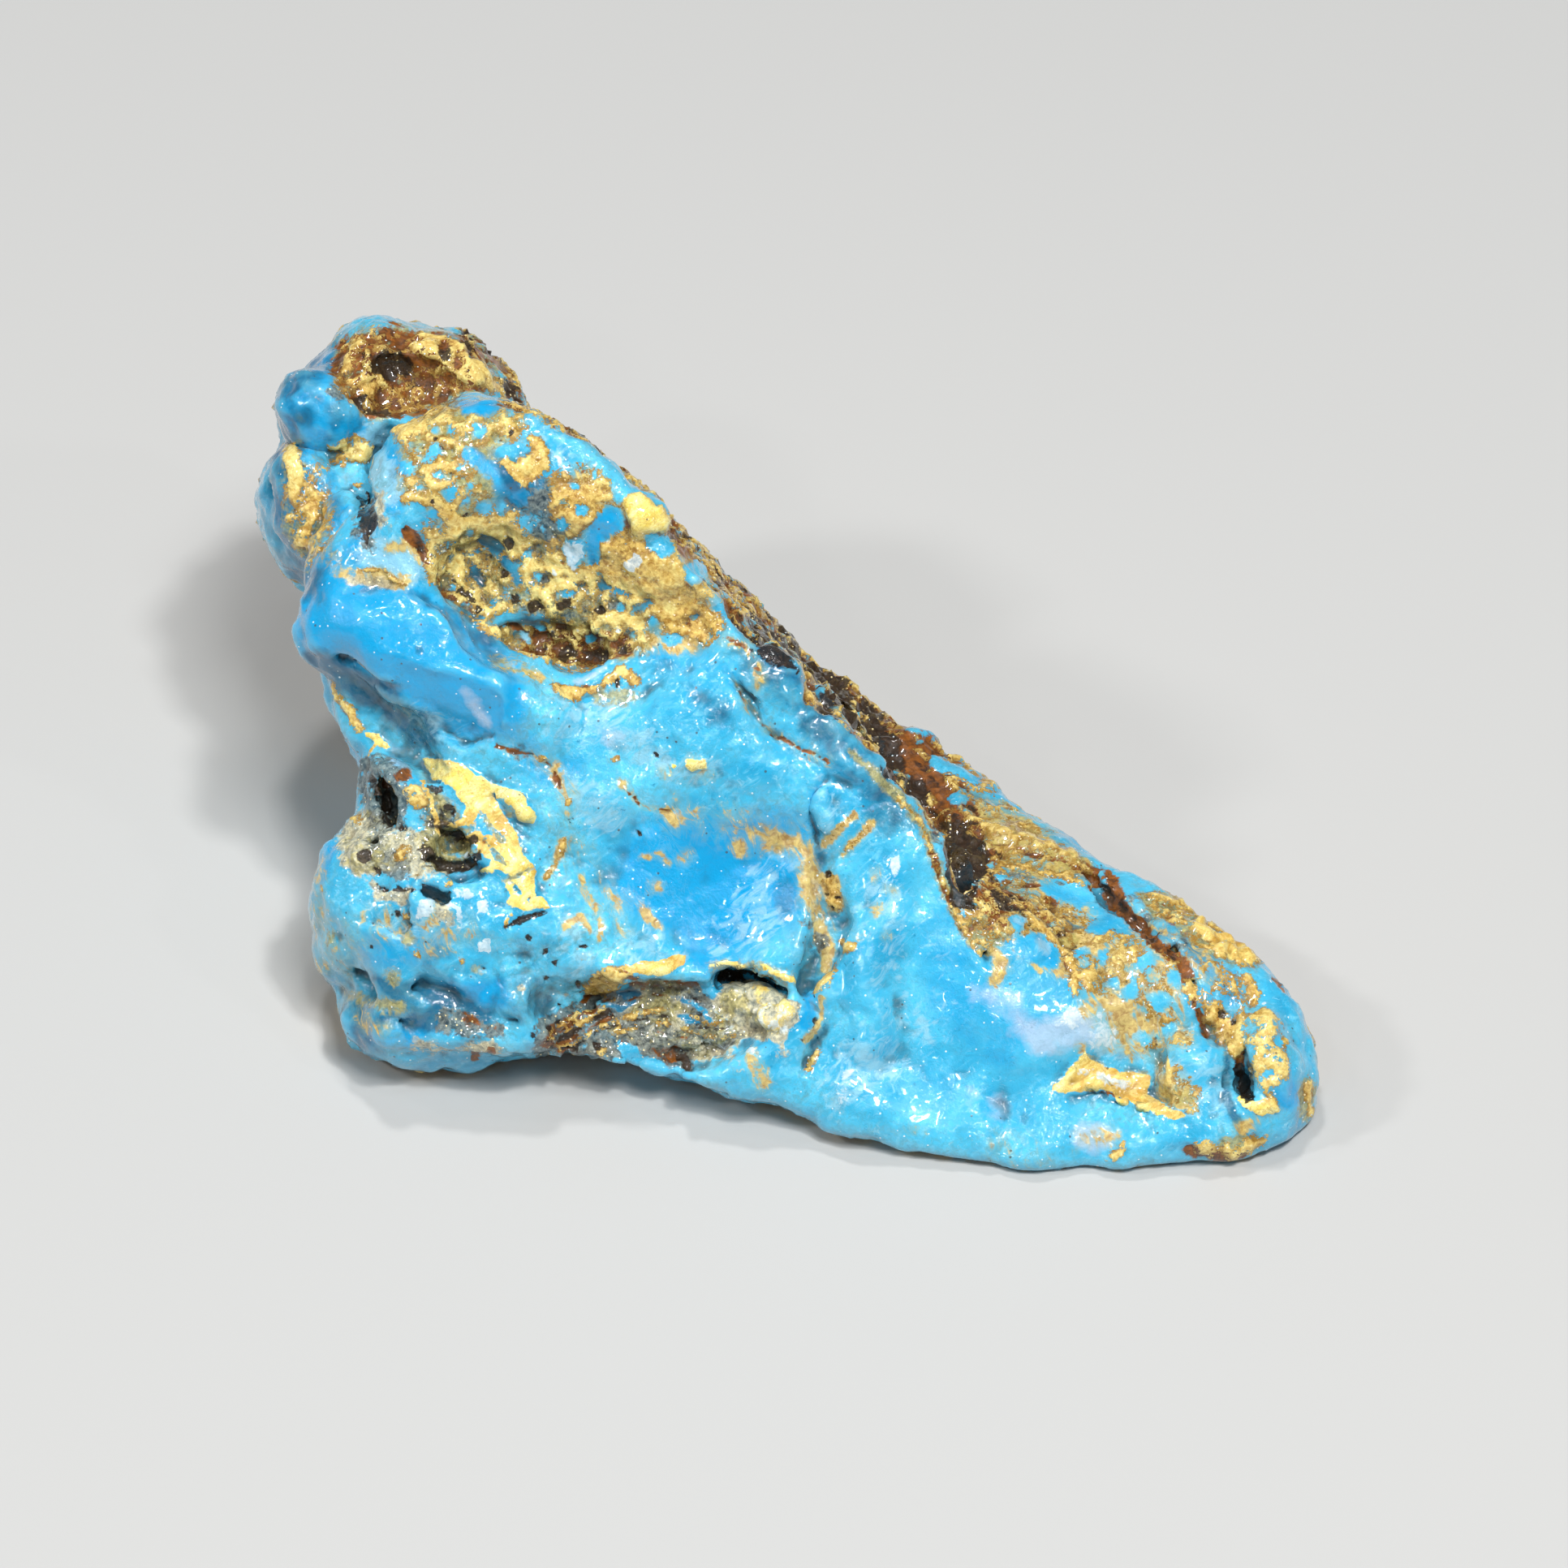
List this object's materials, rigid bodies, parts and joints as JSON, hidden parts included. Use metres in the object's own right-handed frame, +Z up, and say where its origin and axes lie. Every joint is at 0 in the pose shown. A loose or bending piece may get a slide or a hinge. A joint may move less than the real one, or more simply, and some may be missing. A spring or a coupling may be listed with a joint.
{
  "type": "rough blue stone",
  "caption": "Irregular lump of opaque bright blue stone with gold-yellow crust, a leaning front face, a falling crest and a low nose, resting on its flat underside.",
  "frame": {"origin": "middle of the bounding box, on the flat patch underneath that the stone rests on", "axes": "+X along the length from the high shoulder to the low nose, +Y away from the broad front face, +Z up"},
  "size_m": [0.0612, 0.0479, 0.031],
  "materials": {
    "stone": "waxy to glossy, opaque"
  },
  "bodies": {
    "root": {"rough_stone": "stone"}
  },
  "joints": []
}
